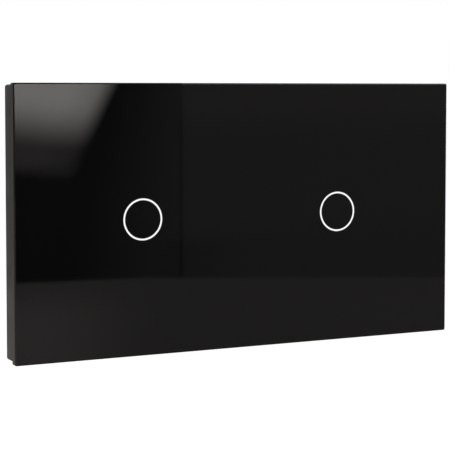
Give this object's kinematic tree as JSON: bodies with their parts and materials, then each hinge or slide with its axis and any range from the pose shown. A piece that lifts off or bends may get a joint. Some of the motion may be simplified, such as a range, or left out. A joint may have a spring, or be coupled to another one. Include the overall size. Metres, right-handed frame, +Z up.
{
  "type": "touch light switch",
  "caption": "Wide touch light switch: flat black glass panel with white touch rings on a clip-on frame, over relay modules screwed to steel wall-box plates.",
  "frame": {"origin": "on the wall plane, midway between the two wall boxes", "axes": "+X to the right of someone who faces the switch, +Y into the wall, +Z up"},
  "size_m": [0.157, 0.0402, 0.086],
  "materials": {
    "black_glass": "polished",
    "black_ink": "smooth",
    "white_ink": "smooth, lit from behind",
    "foam_tape": "matte",
    "black_abs": "fine satin",
    "zinc_plated_steel": "zinc plated",
    "dark_polycarbonate": "fine satin",
    "light_polycarbonate": "fine satin",
    "screw_steel": "zinc plated",
    "milky_acrylic": "translucent",
    "green_laminate": "solder mask",
    "spring_steel": "bright wire",
    "led_resin": "clear",
    "black_nylon": "matte",
    "green_nylon": "satin",
    "brass": "bright",
    "clamp_steel": "zinc plated",
    "copper_winding": "enamelled",
    "relay_iron": "nickel plated",
    "blue_polyester": "satin",
    "yellow_polyester": "satin",
    "capacitor_sleeve": "smooth",
    "ferrite": "matte"
  },
  "bodies": {
    "wall_unit": {"left_mounting_plate": "zinc_plated_steel", "left_rear_housing": "dark_polycarbonate", "left_front_cover": "light_polycarbonate", "left_module_screws": "screw_steel", "left_light_guide": "milky_acrylic", "left_touch_board": "green_laminate", "left_touch_spring": "spring_steel", "left_status_leds": "led_resin", "left_board_header": "black_nylon", "left_board_socket": "black_nylon", "left_main_board": "green_laminate", "left_terminal_block": "green_nylon", "left_busbars": "brass", "left_relay_base": "black_nylon", "left_relay_coil": "copper_winding", "left_relay_yoke": "relay_iron", "left_relay_contact": "brass", "left_relay_case": "blue_polyester", "left_box_capacitor": "yellow_polyester", "left_round_capacitor": "capacitor_sleeve", "left_transformer": "ferrite", "right_mounting_plate": "zinc_plated_steel", "right_rear_housing": "dark_polycarbonate", "right_front_cover": "light_polycarbonate", "right_module_screws": "screw_steel", "right_light_guide": "milky_acrylic", "right_touch_board": "green_laminate", "right_touch_spring": "spring_steel", "right_status_leds": "led_resin", "right_board_header": "black_nylon", "right_board_socket": "black_nylon", "right_main_board": "green_laminate", "right_terminal_block": "green_nylon", "right_busbars": "brass", "right_relay_base": "black_nylon", "right_relay_coil": "copper_winding", "right_relay_yoke": "relay_iron", "right_relay_contact": "brass", "right_relay_case": "blue_polyester", "right_box_capacitor": "yellow_polyester", "right_round_capacitor": "capacitor_sleeve", "right_transformer": "ferrite"},
    "front_panel": {"glass_panel": "black_glass", "black_backing": "black_ink", "touch_rings": "white_ink", "panel_adhesive": "foam_tape", "panel_frame": "black_abs"},
    "left_line_screw_body": {"left_line_screw": "screw_steel"},
    "left_load_screw_body": {"left_load_screw": "screw_steel"},
    "left_line_clamp_body": {"left_line_clamp": "clamp_steel"},
    "left_load_clamp_body": {"left_load_clamp": "clamp_steel"},
    "left_relay_armature_body": {"left_relay_armature": "relay_iron"},
    "right_line_screw_body": {"right_line_screw": "screw_steel"},
    "right_load_screw_body": {"right_load_screw": "screw_steel"},
    "right_line_clamp_body": {"right_line_clamp": "clamp_steel"},
    "right_load_clamp_body": {"right_load_clamp": "clamp_steel"},
    "right_relay_armature_body": {"right_relay_armature": "relay_iron"}
  },
  "joints": [
    {"name": "panel_release", "type": "slide", "parent": "wall_unit", "child": "front_panel", "axis": [0, -1, 0], "range_m": [0, 0.03]},
    {"name": "left_line_screw_turn", "type": "hinge", "parent": "wall_unit", "child": "left_line_screw_body", "pos_m": [-0.04025, 0.0265, -0.0172], "axis": [0, -1, 0], "range_deg": [0, 1800]},
    {"name": "left_line_clamp_lift", "type": "slide", "parent": "wall_unit", "child": "left_line_clamp_body", "axis": [0, 1, 0], "range_m": [0, 0.003]},
    {"name": "left_load_screw_turn", "type": "hinge", "parent": "wall_unit", "child": "left_load_screw_body", "pos_m": [-0.03075, 0.0265, -0.0172], "axis": [0, -1, 0], "range_deg": [0, 1800]},
    {"name": "left_load_clamp_lift", "type": "slide", "parent": "wall_unit", "child": "left_load_clamp_body", "axis": [0, 1, 0], "range_m": [0, 0.003]},
    {"name": "left_armature_swing", "type": "hinge", "parent": "wall_unit", "child": "left_relay_armature_body", "pos_m": [-0.0375, 0.024, 0.00951], "axis": [0, 0, 1], "range_deg": [0, 4.5], "stiffness_Nm_per_rad": 0.02, "springref_deg": -5.73},
    {"name": "right_line_screw_turn", "type": "hinge", "parent": "wall_unit", "child": "right_line_screw_body", "pos_m": [0.03075, 0.0265, -0.0172], "axis": [0, -1, 0], "range_deg": [0, 1800]},
    {"name": "right_line_clamp_lift", "type": "slide", "parent": "wall_unit", "child": "right_line_clamp_body", "axis": [0, 1, 0], "range_m": [0, 0.003]},
    {"name": "right_load_screw_turn", "type": "hinge", "parent": "wall_unit", "child": "right_load_screw_body", "pos_m": [0.04025, 0.0265, -0.0172], "axis": [0, -1, 0], "range_deg": [0, 1800]},
    {"name": "right_load_clamp_lift", "type": "slide", "parent": "wall_unit", "child": "right_load_clamp_body", "axis": [0, 1, 0], "range_m": [0, 0.003]},
    {"name": "right_armature_swing", "type": "hinge", "parent": "wall_unit", "child": "right_relay_armature_body", "pos_m": [0.0335, 0.024, 0.00951], "axis": [0, 0, 1], "range_deg": [0, 4.5], "stiffness_Nm_per_rad": 0.02, "springref_deg": -5.73}
  ],
  "couplings": [
    {"joint": "left_line_screw_turn", "follows": "left_line_clamp_lift", "rad_per_m": 10472},
    {"joint": "left_load_screw_turn", "follows": "left_load_clamp_lift", "rad_per_m": 10472},
    {"joint": "right_line_screw_turn", "follows": "right_line_clamp_lift", "rad_per_m": 10472},
    {"joint": "right_load_screw_turn", "follows": "right_load_clamp_lift", "rad_per_m": 10472}
  ]
}
